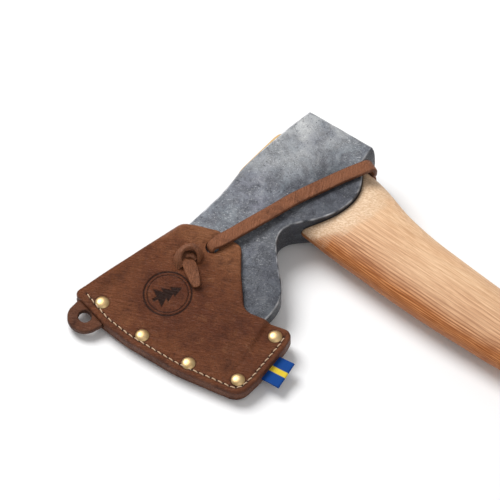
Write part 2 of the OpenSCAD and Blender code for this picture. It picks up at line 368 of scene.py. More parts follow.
class Look:
    """Builds a node material a line at a time."""

    def __init__(self, name, **shader):
        self.material = bpy.data.materials.new(name)
        self.material.use_nodes = True
        self.tree = self.material.node_tree
        self.shader = self.tree.nodes["Principled BSDF"]
        for socket, value in shader.items():
            self.shader.inputs[socket.replace("_", " ")].default_value = value

    def node(self, kind, inputs=None, **settings):
        made = self.tree.nodes.new(kind)
        for key, value in settings.items():
            setattr(made, key, value)
        for key, value in (inputs or {}).items():
            self.put(made.inputs[key], value)
        return made

    def put(self, socket, value):
        if isinstance(value, bpy.types.NodeSocket):
            self.tree.links.new(value, socket)
        else:
            socket.default_value = value

    def where(self, stretch=(1, 1, 1), turn=0.0):
        """Frame positions, stretched and turned about Z."""
        coords = self.node("ShaderNodeTexCoord").outputs["Object"]
        mapping = self.node("ShaderNodeMapping", {"Vector": coords}, vector_type="TEXTURE")
        mapping.inputs["Rotation"].default_value = (0, 0, math.radians(turn))
        mapping.inputs["Scale"].default_value = tuple(1 / s for s in stretch)
        return mapping.outputs["Vector"]

    def noise(self, where, scale, detail=3, roughness=0.55, distortion=0.0):
        return self.node("ShaderNodeTexNoise", {
            "Vector": where, "Scale": scale, "Detail": detail, "Roughness": roughness,
            "Distortion": distortion}).outputs["Fac"]

    def cells(self, where, scale, feature="F1", randomness=1.0):
        return self.node("ShaderNodeTexVoronoi", {
            "Vector": where, "Scale": scale, "Randomness": randomness},
            feature=feature).outputs["Distance"]

    def math(self, operation, a, b=0.0, clamp=False):
        made = self.node("ShaderNodeMath", {0: a, 1: b}, operation=operation, use_clamp=clamp)
        return made.outputs[0]

    def span(self, value, low, high, to_low=0.0, to_high=1.0):
        """A value from low to high, spread smoothly from to_low to to_high."""
        return self.node("ShaderNodeMapRange", {
            "Value": value, "From Min": low, "From Max": high, "To Min": to_low,
            "To Max": to_high}, interpolation_type="SMOOTHSTEP").outputs["Result"]

    def mix(self, amount, a, b, blend="MIX"):
        made = self.node("ShaderNodeMix", data_type="RGBA", blend_type=blend)
        self.put(made.inputs[0], amount)
        for socket, value in ((made.inputs[6], a), (made.inputs[7], b)):
            self.put(socket, value if isinstance(value, bpy.types.NodeSocket) else (*value, 1))
        return made.outputs[2]

    def mark(self, name):
        return self.node("ShaderNodeAttribute", attribute_name=name).outputs["Fac"]

    def axis(self, socket, name):
        return self.node("ShaderNodeSeparateXYZ", {0: socket}).outputs[name]

    def normal_part(self, name):
        """One part of the surface's direction in the frame."""
        geometry = self.node("ShaderNodeNewGeometry").outputs["Normal"]
        turned = self.node("ShaderNodeVectorTransform", {"Vector": geometry},
                           vector_type="NORMAL", convert_from="WORLD", convert_to="OBJECT")
        return self.axis(turned.outputs[0], name)

    def bump(self, height, distance, strength=1.0, under=None):
        made = self.node("ShaderNodeBump", {
            "Height": height, "Distance": distance, "Strength": strength})
        if under is not None:
            self.put(made.inputs["Normal"], under)
        return made.outputs["Normal"]

    def finish(self, colour=None, roughness=None, normal=None):
        if colour is not None:
            self.put(self.shader.inputs["Base Color"], colour)
        if roughness is not None:
            self.put(self.shader.inputs["Roughness"], roughness)
        if normal is not None:
            self.put(self.shader.inputs["Normal"], normal)
        return self.material


def tinted(colour, level):
    return tuple(min(1, c * level) for c in colour)


def leather(name, dark, middle, light, wrinkle_turn=20.0):
    """Oiled leather. The mesh's marks set tone (0 lightest, 1 darkest), shade (painted shade, darker) and
    wear (lighter).
    """
    look = Look(name, Specular_IOR_Level=0.26)
    flat = look.where()
    patches = look.noise(flat, 24, 4, 0.6)
    clouds = look.noise(flat, 110, 5, 0.68, 0.4)
    grain = look.cells(flat, 1150)
    tone = look.math("ADD", look.mark("tone"), look.span(patches, 0.28, 0.72, 0.32, -0.32))
    colour = look.mix(look.span(tone, 0.0, 0.5), light, middle)
    colour = look.mix(look.span(tone, 0.5, 1.0), colour, dark)
    colour = look.mix(look.span(clouds, 0.48, 0.74, 0.0, 0.75), colour, tinted(dark, 0.62))
    colour = look.mix(look.span(clouds, 0.47, 0.26, 0.0, 0.6), colour, light)
    speck = look.span(grain, 0.05, 0.75, 0.80, 1.08)
    grey = look.node("ShaderNodeCombineColor", {0: speck, 1: speck, 2: speck}).outputs[0]
    colour = look.mix(1.0, colour, grey, "MULTIPLY")
    # Painted shade: the shade mark darkens the colour nearly to black.
    colour = look.mix(look.mark("shade"), colour, tinted(dark, 0.16))
    colour = look.mix(look.mark("wear"), colour, tinted(light, 1.35))
    creases = look.noise(look.where((1, 5, 1), wrinkle_turn), 170, 5, 0.66, 0.9)
    # Painted shade in the troughs of the crease pattern.
    colour = look.mix(look.span(creases, 0.46, 0.30, 0.0, 0.42), colour, tinted(dark, 0.5))
    fine = look.noise(flat, 1300, 3, 0.7)
    normal = look.bump(look.span(creases, 0.3, 0.75), 0.0009, 0.8)
    normal = look.bump(grain, 0.0002, 0.6, normal)
    normal = look.bump(fine, 0.00012, 0.6, normal)
    rough = look.span(clouds, 0.3, 0.7, 0.40, 0.58)
    return look.finish(colour, rough, normal)


def forged_steel():
    look = Look("forged_steel", Metallic=0.5, Specular_IOR_Level=0.5)
    flat = look.where()
    scale = look.noise(flat, 120, 8, 0.78, 0.5)
    blotch = look.noise(flat, 26, 4, 0.6)
    dust = look.noise(flat, 620, 5, 0.78)
    hue = look.noise(flat, 45, 2, 0.5)
    cool = look.mix(hue, (0.150, 0.142, 0.185), (0.138, 0.172, 0.188))
    colour = look.mix(look.span(scale, 0.40, 0.60), (0.050, 0.053, 0.068), cool)
    colour = look.mix(look.span(scale, 0.56, 0.70, 0, 0.75), colour, (0.32, 0.325, 0.335))
    colour = look.mix(look.span(blotch, 0.45, 0.68, 0, 0.35), colour, (0.185, 0.195, 0.205))
    mottle = look.noise(flat, 240, 5, 0.72)
    # Painted light: the head's upper part by the poll is lightened, with a mottle.
    pale = look.math("MULTIPLY", look.mark("pale"), look.span(mottle, 0.25, 0.60, 0.55, 1.25),
                     clamp=True)
    colour = look.mix(pale, colour, (0.54, 0.545, 0.54))
    flake = look.noise(look.where((1, 3, 1), 35), 520, 4, 0.72)
    lit = look.math("MULTIPLY", look.span(flake, 0.56, 0.64),
                    look.span(blotch, 0.42, 0.66, 0.15, 0.8))
    colour = look.mix(lit, colour, (0.48, 0.49, 0.50))
    for turn, low in ((35, 0.665), (-20, 0.68), (70, 0.69)):
        scratch = look.noise(look.where((1, 8, 1), turn), 330, 4, 0.7)
        colour = look.mix(look.span(scratch, low, low + 0.05, 0, 0.75), colour, (0.50, 0.51, 0.53))
    pits = look.cells(flat, 430)
    colour = look.mix(look.span(pits, 0.20, 0.06, 0, 0.75), colour, (0.020, 0.023, 0.030))
    colour = look.mix(look.span(dust, 0.60, 0.68, 0, 0.7), colour, (0.52, 0.52, 0.53))
    # Painted shade: the head's lower part by the beard and its side walls are darkened nearly to black.
    colour = look.mix(look.mark("dark"), colour, (0.012, 0.013, 0.017))
    colour = look.mix(look.mark("bright"), colour, (0.66, 0.66, 0.67))
    normal = look.bump(scale, 0.0012, 0.75)
    normal = look.bump(dust, 0.00035, 0.7, normal)
    normal = look.bump(look.span(pits, 0.02, 0.22), 0.0003, 0.6, normal)
    rough = look.span(scale, 0.3, 0.7, 0.36, 0.60)
    return look.finish(colour, rough, normal)


def ash_wood():
    look = Look("ash_wood", Specular_IOR_Level=0.22)
    flat = look.where()
    along = look.where((1, 1, 1), -4)
    # Growth layers stand nearly level: the flat sides show fine lines and the narrow sides dark ones
    slow = look.noise(look.where((1, 6, 6)), 7, 3, 0.5)
    height = look.axis(along, 2)
    across = look.axis(along, 1)
    layer = look.math("ADD", look.math("MULTIPLY", height, 640.0),
                      look.math("MULTIPLY", across, 330.0))
    layer = look.math("ADD", layer, look.math("MULTIPLY", slow, 5.0))
    rings = look.math("FRACT", layer)
    ring_dark = look.math("MULTIPLY", look.span(rings, 0.35, 0.92), look.span(rings, 1.0, 0.94))
    fibres = look.noise(look.where((1, 34, 34), -4), 42, 5, 0.66)
    pores = look.noise(look.where((1, 20, 20), -4), 120, 3, 0.65)
    patch = look.noise(look.where((1, 3, 3)), 14, 3, 0.5)
    # Painted shade: the side facing the bit gets a darker, more orange copy of the wood colour, partly a real
    # darker oil stain, and its growth lines are drawn darker there.
    side = look.span(look.normal_part(1), 0.30, -0.80)
    shaded_side = look.math("ADD", side, look.span(patch, 0.3, 0.7, -0.12, 0.16), clamp=True)
    pale = look.mix(look.span(fibres, 0.35, 0.68), (0.66, 0.395, 0.220), (0.86, 0.595, 0.375))
    deep = look.mix(look.span(fibres, 0.35, 0.68), (0.30, 0.085, 0.020), (0.66, 0.27, 0.095))
    colour = look.mix(shaded_side, pale, deep)
    lines = look.math("MULTIPLY", ring_dark, look.span(shaded_side, 0.0, 0.8, 0.10, 0.80))
    colour = look.mix(lines, colour, (0.20, 0.060, 0.018))
    colour = look.mix(look.span(pores, 0.58, 0.74, 0, 0.55), colour, (0.32, 0.150, 0.062))
    cut_grain = look.noise(look.where((1, 2, 2), 30), 520, 4, 0.75)
    cut_colour = look.mix(look.span(cut_grain, 0.42, 0.62), (0.62, 0.42, 0.26), (0.86, 0.66, 0.47))
    colour = look.mix(look.mark("cut"), colour, cut_colour)
    colour = look.mix(look.mark("end"), colour, (0.70, 0.46, 0.20))
    colour = look.mix(look.mark("shade"), colour, (0.035, 0.014, 0.006))
    normal = look.bump(fibres, 0.0002, 0.6)
    normal = look.bump(pores, 0.00015, 0.6, normal)
    return look.finish(colour, look.span(fibres, 0.3, 0.7, 0.44, 0.58), normal)


def wedge_wood():
    look = Look("wedge_wood", Specular_IOR_Level=0.3)
    fibres = look.noise(look.where((1, 20, 20)), 60, 4, 0.6)
    colour = look.mix(look.span(fibres, 0.3, 0.7), (0.36, 0.17, 0.07), (0.62, 0.38, 0.20))
    return look.finish(colour, look.span(fibres, 0.3, 0.7, 0.6, 0.75), look.bump(fibres, 0.0002, 0.6))


def plain_metal(name, colour, other, roughness, bump=0.00006):
    """Turned or pressed metal with a faint brushed variation."""
    look = Look(name, Metallic=1.0)
    flat = look.where()
    cloud = look.noise(flat, 260, 4, 0.6)
    brushed = look.noise(look.where((1, 8, 1), 50), 900, 3, 0.6)
    mixed = look.mix(look.span(cloud, 0.3, 0.7), colour, other)
    mixed = look.mix(look.mark("shade"), mixed, tinted(colour, 0.25))
    rough = look.span(brushed, 0.3, 0.7, roughness - 0.07, roughness + 0.09)
    return look.finish(mixed, rough, look.bump(brushed, bump, 0.5))


def thread_look():
    look = Look("waxed_thread", Specular_IOR_Level=0.3, Sheen_Weight=0.15)
    twist = look.node("ShaderNodeTexWave", {
        "Vector": look.where((1, 1, 1), 35), "Scale": 700.0, "Distortion": 1.5,
        "Detail": 1.0}).outputs["Fac"]
    colour = look.mix(twist, (0.42, 0.26, 0.15), (0.72, 0.53, 0.36))
    return look.finish(colour, look.span(twist, 0, 1, 0.55, 0.7), look.bump(twist, 0.00015, 0.6))


def ribbon_look(stripe_low, stripe_high, turn):
    """Woven ribbon in blue, with one plain yellow band across it."""
    look = Look("woven_ribbon", Specular_IOR_Level=0.15)
    turned = look.where((1, 1, 1), turn)
    warp = look.node("ShaderNodeTexWave", {
        "Vector": turned, "Scale": 560.0, "Distortion": 0.4}, bands_direction="X").outputs["Fac"]
    weft = look.node("ShaderNodeTexWave", {
        "Vector": turned, "Scale": 430.0, "Distortion": 0.4}, bands_direction="Y").outputs["Fac"]
    weave = look.math("MULTIPLY", look.math("ADD", warp, weft), 0.5)
    band = look.math("MULTIPLY", look.span(look.mark("across"), stripe_low - 0.02, stripe_low + 0.02),
                     look.span(look.mark("across"), stripe_high + 0.02, stripe_high - 0.02))
    blue = look.mix(weave, (0.002, 0.024, 0.15), (0.004, 0.085, 0.36))
    gold = look.mix(weave, (0.55, 0.38, 0.02), (0.95, 0.72, 0.06))
    colour = look.mix(band, blue, gold)
    return look.finish(colour, look.span(weave, 0, 1, 0.6, 0.75), look.bump(weave, 0.0002, 0.7))


STEEL = forged_steel()
WOOD = ash_wood()
WEDGE = wedge_wood()
LEATHER = leather("sheath_leather",
                  (0.112, 0.029, 0.010), (0.165, 0.050, 0.017), (0.250, 0.095, 0.038))
EDGE = leather("burnished_edge",
               (0.060, 0.018, 0.008), (0.100, 0.032, 0.014), (0.150, 0.056, 0.028))
STRAP = leather("strap_leather",
                (0.130, 0.040, 0.016), (0.205, 0.070, 0.029), (0.265, 0.100, 0.046), -64.0)
BRASS = plain_metal("satin_brass", (0.60, 0.40, 0.18), (0.70, 0.51, 0.27), 0.42)
RING = plain_metal("ring_steel", (0.36, 0.37, 0.39), (0.48, 0.49, 0.51), 0.4)
THREAD = thread_look()

# ---------------------------------------------------------------- camera, floor and light

VIEW_TURN = math.radians(33.65)
RIGHT = Vector((math.cos(VIEW_TURN), math.sin(VIEW_TURN), 0))
VIEW_HEIGHT = math.radians(60)
BACK = Vector((RIGHT.y * math.cos(VIEW_HEIGHT), -RIGHT.x * math.cos(VIEW_HEIGHT),
               math.sin(VIEW_HEIGHT)))
UP = BACK.cross(RIGHT)
LENS = 1600.0
SENSOR = 36.0
VIEW_WIDTH = 0.325
CORNER_IN_VIEW = (0.0795, 0.06695)


def make_camera():
    corner = Vector(place([0, 0, HALF_T])[0])
    aim = corner - RIGHT * CORNER_IN_VIEW[0] - UP * CORNER_IN_VIEW[1]
    data = bpy.data.cameras.new("camera")
    data.lens = LENS
    data.sensor_width = SENSOR
    data.clip_end = 60
    camera = bpy.data.objects.new("camera", data)
    camera.location = aim + BACK * (VIEW_WIDTH / SENSOR * LENS)
    camera.rotation_mode = "QUATERNION"
    camera.rotation_quaternion = BACK.to_track_quat("Z", "Y")
    bpy.context.scene.collection.objects.link(camera)
    bpy.context.scene.camera = camera
    return aim


def make_floor():
    """The axe rests on its sheath's lower rivets, the lower strap arm and the handle's end."""
    look = Look("floor", Roughness=0.9, Specular_IOR_Level=0.1)
    cloud = look.noise(look.where(), 3, 2)
    material = look.finish(look.mix(cloud, (0.90, 0.90, 0.905), (0.93, 0.93, 0.93)))
    slope_a, slope_b, level = 0.0096, 0.0975, -26.1
    spots = [[a, b, level + slope_a * a + slope_b * b]
             for a, b in ((-5000, -5000), (6000, -5000), (6000, 5000), (-5000, 5000))]
    mesh = bpy.data.meshes.new("floor")
    mesh.from_pydata(place(spots).tolist(), [], [(3, 2, 1, 0)])
    floor = bpy.data.objects.new("floor", mesh)
    mesh.materials.append(material)
    bpy.context.scene.collection.objects.link(floor)


def area_light(name, aim, way, distance, size, power, colour=(1, 1, 1)):
    data = bpy.data.lights.new(name, "AREA")
    data.shape = "DISK"
    data.size = size
    data.energy = power
    data.color = colour
    light = bpy.data.objects.new(name, data)
    way = Vector(way).normalized()
    light.location = aim + way * distance
    light.rotation_mode = "QUATERNION"
    light.rotation_quaternion = way.to_track_quat("Z", "Y")
    bpy.context.scene.collection.objects.link(light)


def make_light(aim):
    away = Vector((-RIGHT.y, RIGHT.x, 0))
    area_light("key", aim, -RIGHT * 0.5 + away * 0.62 + Vector((0, 0, 1.05)), 1.6, 1.0, 26)
    area_light("fill", aim, RIGHT * 0.5 - away * 0.9 + Vector((0, 0, 1.2)), 2.0, 1.6, 5)
    world = bpy.data.worlds.new("studio")
    world.use_nodes = True
    world.node_tree.nodes["Background"].inputs["Color"].default_value = (1, 1, 1, 1)
    world.node_tree.nodes["Background"].inputs["Strength"].default_value = 0.42
    bpy.context.scene.world = world
    bpy.context.scene.view_settings.view_transform = "Standard"


AIM = make_camera()
make_floor()
make_light(AIM)

# ---------------------------------------------------------------- head

HEAD_L = 187.0
POLL_BULGE = 2.4
EDGE_R = 137.0
EDGE_CENTRE = np.array([-44.0, HEAD_L - EDGE_R])


def on_edge(a):
    return np.array([a, EDGE_CENTRE[1] + math.sqrt(EDGE_R ** 2 - (a - EDGE_CENTRE[0]) ** 2)])


def head_outline():
    toe, heel = on_edge(-93), on_edge(-1)
    start, stop = (math.atan2(*(p - EDGE_CENTRE)[::-1]) for p in (heel, toe))
    underside = smooth([
        [0.5, 13], [6.8, 22], [10.6, 31], [11.2, 41], [7.6, 53], [0.5, 63.5], [-9, 72.5], [-14.4, 79],
        [-15.8, 85.5], [-13.2, 92.5], [-5.5, 102.5], [4.6, 114], [9.8, 122.5], [11.2, 131], [10.4, 140],
        [8, 152], [4, 166], heel], 8)
    top = smooth([
        toe, [-87.3, 160], [-79.2, 138], [-70.6, 112], [-65.7, 91], [-63, 77], [-61.6, 61], [-59.4, 46],
        [-56.7, 32.5], [-53.5, 18], [-48.8, 0]], 8)
    edge = [EDGE_CENTRE + EDGE_R * np.array([math.cos(t), math.sin(t)])
            for t in np.linspace(start, stop, 60)[1:-1]]
    return np.vstack([[[0, 0]], underside, edge, top])


def head_half(points):
    """Half the head's thickness over plan points, before its rims are rounded."""
    b = np.arange(-10, 200, 0.5)
    wedge = np.interp(b, [-10, 58, 76, 92, 107, 140, 165, 191],
                      [HALF_T, HALF_T, 13.6, 10.6, 8.6, 5.2, 2.9, 0.9])
    kernel = bell(np.arange(-16, 17) * 0.5, 3.5)
    wedge = np.convolve(np.pad(wedge, 16, mode="edge"), kernel / kernel.sum(), mode="valid")
    cheek = np.interp(points[:, 1], b, wedge)
    radius = np.linalg.norm(points - EDGE_CENTRE, axis=1)
    bevel = np.interp(radius, [100, EDGE_R - 18, EDGE_R], [9.0, 2.7, 0.25])
    return np.minimum(cheek, np.where(radius > 90, bevel + np.clip(119 - radius, 0, None) * 0.5, 99))


def make_head():
    outline = evenly(head_outline(), 1.1, closed=True)
    inward = inward_of(outline)
    rings = np.vstack([outline + inward * t for t in (0.12, 0.35, 0.7, 1.2)])
    extra = np.vstack([rings[inside(rings, outline)], grid_in(outline, 1.45, 1.9)])
    points, tris = triangulate(outline, [], extra)
    depth = distance_to(points, outline, closed=True)[0]

    def rim_radius(p):
        spot = at_height(p, 0.0)
        return np.minimum(1.0 + 0.35 * wobble(spot, 14, 3), head_half(p) * 0.5)

    def surface(p, d, seed):
        spot = at_height(p, seed * 40.0)
        dents = 0.22 * wobble(spot, 13, seed) + 0.10 * wobble(spot, 5, seed + 5)
        half = head_half(p)
        return half - rim_drop(rim_radius(p), d) + (dents - 0.2) * share((half - 2.5) / 6)

    skin = Skin()
    top_edge, low_edge = (surface(outline, np.zeros(len(outline)), seed) for seed in (1, 2))
    a, b = points.T
    for sign, seed in ((1, 1), (-1, 2)):
        z = surface(points, depth, seed)
        spot = at_height(points, z)
        # Painted light on the upper faces by the poll and painted shade on the lower faces by the beard.
        skin.add(
            at_height(points, sign * z), tris,
            bright=bell(depth - 0.45, 0.38) * share(0.35 + 0.9 * wobble(spot, 6, seed + 8)),
            pale=0.62 * np.clip(1.2 - b / 62 - (a + 49) / 90, 0.08, 1)
            * share(0.8 + 0.7 * wobble(spot, 11, seed + 3))
            * share(1 - (a + 34) / 30),
            dark=0.50 * share((a + 36) / 24) * share((b - 14) / 18),
        )
    rows = []
    for t in np.linspace(0, 1, 13):
        z = top_edge * (1 - t) - low_edge * t
        spot = at_height(outline, z)
        bulge = 4 * t * (1 - t) * (0.22 * wobble(spot, 9, 6) - 0.12)
        wall = outline - inward * bulge[:, None] * share(top_edge / 6)[:, None]
        barrel = POLL_BULGE * (4 * t * (1 - t)) ** 0.6 * share(1 - (outline[:, 1] / 8) ** 2)
        wall[:, 0] += barrel * share(1 + outline[:, 0] / 14) ** 2
        rows.append(at_height(wall, z))
    # The side walls are darkened all round with painted shade.
    skin.strip(rows, closed=True, bright=0, pale=0, dark=0.55)
    head = skin.object("head_forged", STEEL, sharp=50)
    eye = bar("eye_cutter", eye_section(0.0), -120, 60, STEEL)
    cut(head, eye)
    dress(head, STEEL, 50)
    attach(head, "axe")
    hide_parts("axe_head")
    return outline


EYE_BACK, EYE_FRONT, EYE_BACK_R, EYE_FRONT_R = 27.5, 53.5, 10.5, 8.5


def eye_section(inset):
    """The eye's outline as [b, z] points: two round ends and straight flanks."""
    rb, rf = EYE_BACK_R - inset, EYE_FRONT_R - inset
    lean = math.asin((rb - rf) / (EYE_FRONT - EYE_BACK))
    back = [[EYE_BACK + rb * math.sin(t), rb * math.cos(t)]
            for t in np.linspace(lean, lean - math.pi - 2 * lean, 28)]
    front = [[EYE_FRONT + rf * math.sin(t), rf * math.cos(t)]
             for t in np.linspace(math.pi - lean, lean, 24)]
    return np.array(back + front)


HEAD_OUTLINE = make_head()

# ---------------------------------------------------------------- handle, wedge and ring

# a, b of the back, b of the front, thickness
HANDLE_STATIONS = [
    [-14, 12, 70.6, 24], [0, 10.8, 73, 25], [14, 13, 75, 25.6], [26, 16.6, 76.4, 25.8],
    [44, 23.2, 78.2, 25.6], [67, 28.6, 80.6, 25], [93, 32.2, 82.6, 24.6], [123, 35.8, 83.8, 24.2],
    [155, 39.2, 84.4, 24], [205, 41.4, 82, 23.6], [265, 38.5, 75.4, 23.3], [330, 31.4, 66.4, 23.3],
    [400, 24.5, 57.5, 23.6], [470, 19.5, 52.8, 24.2], [530, 17, 53, 25.8], [575, 16, 58, 28],
    [608, 18, 66, 30.4], [628, 22, 69.5, 30.6], [638, 27, 68.5, 27.5], [HANDLE_END, 34, 64.5, 20],
]
OVAL = 2.35
TENON_GAP = 0.15
TENON_TOP = ((-53.2 - 3.6, 14), (-61.8 - 3.8, 64))


def make_handle():
    stations = smooth(HANDLE_STATIONS, 12)
    turns = np.linspace(0, 2 * math.pi, 96, endpoint=False)
    across, upward = boxy(np.cos(turns), OVAL), boxy(np.sin(turns), OVAL)
    rows = [
        np.column_stack([
            np.full(len(turns), a),
            (back + front) / 2 + (front - back) / 2 * across,
            thick / 2 * upward])
        for a, back, front, thick in stations
    ]
    skin = Skin()
    skin.strip(rows, closed=True, end=0, shade=0)
    n = len(turns)
    for row in (rows[0], rows[-1]):
        middle = row.mean(0)
        inner = [middle + (row - middle) * k for k in (1.0, 0.85, 0.5)]
        skin.strip(inner, closed=True, end=1, shade=0)
        fan = [(i, (i + 1) % n, n) for i in range(n)]
        skin.add(np.vstack([inner[-1], middle]), fan, end=1, shade=0)
    handle = skin.object("handle_wood", WOOD, sharp=35)
    shoulder_gap, behind_head = 0.4, -11
    cut(handle, prism("shoulder_cutter", HEAD_OUTLINE + [shoulder_gap, 0], -30, 30, WOOD))
    end_block = np.array([[-40, -40], [behind_head, -40], [behind_head, 120], [-40, 120]])
    cut(handle, prism("end_cutter", end_block, -40, 40, WOOD))
    tenon = bar("tenon", eye_section(TENON_GAP), -80, 16, WOOD)
    (_, b_low), (_, b_high) = TENON_TOP
    top = np.array([*TENON_TOP, (-120, b_high), (-120, b_low)])
    cut(tenon, prism("tenon_cutter", top, -30, 30, WOOD))
    cut(tenon, kerf())
    cut(tenon, ring_groove())
    cut(handle, tenon, "UNION")
    dress(handle, WOOD, 35)
    paint_handle(handle.data)
    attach(handle, "axe")
    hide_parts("handle")


def kerf():
    """The cutter for the wooden wedge's slot, as a section of [a, z] points drawn out along b."""
    half_top, half_root, top, root = 2.6, 0.7, -59, -21.0
    side = [[-90, half_top], [top, half_top], [root, half_root]]
    section = np.array(side + [[a, -z] for a, z in side[::-1]])
    ends = [np.insert(section, 1, b, axis=1) for b in (5, 75)]
    return Skin().block(*ends).object("kerf_cutter", WOOD)


def ring_groove():
    """The cutter for the ring wedge's slot."""
    outer, inner, middle_b, bottom, above = 6, 4.5, 33, -45 - 1.5, -75
    turns = np.linspace(0, 2 * math.pi, 48, endpoint=False)
    circle = np.column_stack([np.cos(turns), np.sin(turns)])
    corners = [(outer, bottom), (outer, above), (inner, above), (inner, bottom), (outer, bottom)]
    rows = [np.insert(radius * circle + [middle_b, 0], 0, a, axis=1) for radius, a in corners]
    skin = Skin()
    skin.strip(rows, closed=True)
    return skin.object("groove_cutter", WOOD)


def paint_handle(mesh):
    """Marks end grain, the cut face by the head, and the shade where the wood meets it."""
    co = np.array([v.co for v in mesh.vertices])
    p = plan_of(co)
    for name in ("end", "shade"):
        if name in mesh.attributes:
            mesh.attributes.remove(mesh.attributes[name])
    gap = distance_to(p[:, :2], HEAD_OUTLINE, closed=True)[0]
    shade = 0.85 * bell(gap, 0.9) * (p[:, 0] > -30)
    ragged = 5 * wobble(p, 9, 12)
    cut_face = share((21 - gap - ragged - 0.10 * (p[:, 1] - 20)) / 9)
    cut_face = cut_face * (p[:, 0] > -20) * (p[:, 2] > 2)
    end = share((p[:, 0] - HANDLE_END + 0.6) / 0.5) * 0.7 + 0.9 * (p[:, 0] < -52)
    for name, values in (("end", end), ("shade", shade), ("cut", 0.85 * cut_face)):
        layer = mesh.attributes.new(name, "FLOAT", "POINT")
        layer.data.foreach_set("value", share(values).astype(np.float32))


make_handle()
for node_name, material in (("wood_wedge", WEDGE), ("ring_wedge", RING), ("edge_welt", EDGE)):
    dress(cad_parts[node_name], material, 30)

# ---------------------------------------------------------------- sheath

FOLD_TOP = np.array([-75.8, 113.6])
FOLD_BOTTOM = np.array([-104.7, 192.4])
FOLD_WAY = unit(FOLD_BOTTOM - FOLD_TOP)
INTO = np.array([FOLD_WAY[1], -FOLD_WAY[0]])
FOLD_R = 12.5
LEATHER_T = 3.0
PANEL_RIM = 1.7
RIM_HALF = 2.0
STACK_HALF = RIM_HALF + LEATHER_T
RIVETS = [
    np.array(r) for r in ([-85, 188.6], [-49.7, 194.7], [-13.3, 195.4], [20.2, 187.9], [22.4, 147.7])]
RIVET_D = 9.2
STRAP_HOLE = np.array([-46.6, 117.4])
STRAP_HOLE_R = 4.6
EMBLEM_AT = np.array([-52.5, 160.8])
EMBLEM_R = 15.6

SHEATH_CORNERS = [
    [*FOLD_TOP, 3], [-64, 109.4, 14], [-50, 105, 10], [-31, 106.8, 5], [-20, 123.7, 60],
    [-4, 144.2, 9], [14, 141.6, 40], [30.8, 137.8, 6], [32.2, 150, 30], [30.8, 180, 30],
    [28, 197.5, 11], [-18, 203.6, 90], [-56, 203.3, 60], [-77, 200.6, 40], [*FOLD_BOTTOM, 4],
]
SEAM = rounded([
    [-97, 188.8, 0], [-75.5, 196.6, 40], [-56, 199.2, 60], [-18, 199.5, 90], [24.6, 194, 8],
    [26.8, 180, 30], [28.2, 150, 30], [27.2, 142.2, 0]], closed=False)
STITCH_PITCH = 4.5
STITCH_HALF = 1.85
STITCH_LEAN = math.radians(9)
UNDER_CAP = 0.9


def stitch_beat(s):
    """1 at the holes between stitches and 0 half way, over the length along the seam."""
    return 0.5 + 0.5 * np.cos(2 * math.pi * s / STITCH_PITCH)


def fold_depth(points):
    """Distance of plan points from the fold's outer line."""
    return (points - FOLD_TOP) @ INTO


def fold_round(depth, radius, power=3):
    """Half height of a boxy round over the distance from its outer line."""
    t = share(1 - depth / radius)
    return np.where(depth >= radius, radius, radius * (1 - t ** power) ** (1 / power))


def emblem_depth(points):
    """How deep a plain ring and a spruce tree are pressed into the leather, from 0 to 1."""
    q = points - EMBLEM_AT
    turn = math.radians(-33)
    x = q[:, 0] * math.cos(turn) - q[:, 1] * math.sin(turn)
    y = q[:, 0] * math.sin(turn) + q[:, 1] * math.cos(turn)
    r = np.hypot(x, y)

    def groove(distance, half_width):
        return 1 / (1 + np.exp((np.abs(distance) - half_width) / 0.13))

    pressed = np.maximum(groove(r - EMBLEM_R, 0.55), groove(r - EMBLEM_R + 2.2, 0.28))
    for tip, base, half in ((-10.2, -3.2, 4.0), (-5.6, 2.2, 5.6), (-0.6, 7.4, 7.2)):
        width = half * share((y - tip) / (base - tip))
        edge = np.minimum(width - np.abs(x), np.minimum(base - y, y - tip))
        pressed = np.maximum(pressed, 1 / (1 + np.exp(-edge / 0.15)))
    trunk = np.minimum(1.1 - np.abs(x), np.minimum(10.6 - y, y - 7.0))
    return np.maximum(pressed, 1 / (1 + np.exp(-trunk / 0.15)))


def creases(points):
    """Soft hollows of the worn leather, in millimetres below the plain surface."""
    depth = fold_depth(points)
    along = (points - FOLD_TOP) @ FOLD_WAY
    spot = at_height(points, 0.0)
    valley = 0.9 * bell(depth - 9.5 - 0.04 * (along - 55), 3.6) * share((along - 30) / 25)
    knot_line = np.array([[-43.5, 129.0], [-36.0, 141.0], [-27.0, 158.0]])
    gap, s = distance_to(points, knot_line)
    valley = valley + 0.9 * bell(gap, 4.2) * bell(s - 14, 17)
    heel_line = np.array([[-10.0, 148.0], [6.0, 172.0], [10.0, 186.0]])
    valley = valley + 0.5 * bell(distance_to(points, heel_line)[0], 6.0)
    return valley + 0.22 * wobble(spot, 22, 4) + 0.07 * wobble(spot, 6, 9)


def panel_height(points, inner):
    """Half height of the sheath's outer or inner faces, with no rims, holes or stitches."""
    a, b = points[:, 0], points[:, 1]
    thick = 0.0 if inner else LEATHER_T
    by_b = np.interp(b, [60, 107, 183, 260], [13.7, 9.2, RIM_HALF, RIM_HALF]) + thick
    by_a = np.interp(a, [-200, 5, 10.5, 15, 80], [30, 12, 6.6, RIM_HALF, RIM_HALF]) + thick
    depth = fold_depth(points)
    if inner:
        return np.minimum(np.minimum(by_b, by_a), fold_round(depth - LEATHER_T, FOLD_R - LEATHER_T, 6))
    body = softest([by_b, by_a], 0.35)
    low = np.minimum(body, fold_round(depth, FOLD_R))
    soft = softest([body + 0.4, fold_round(depth, FOLD_R)], 0.7)
    return np.where(depth < 3, np.minimum(low, np.maximum(soft, 0)), np.maximum(soft, 0))


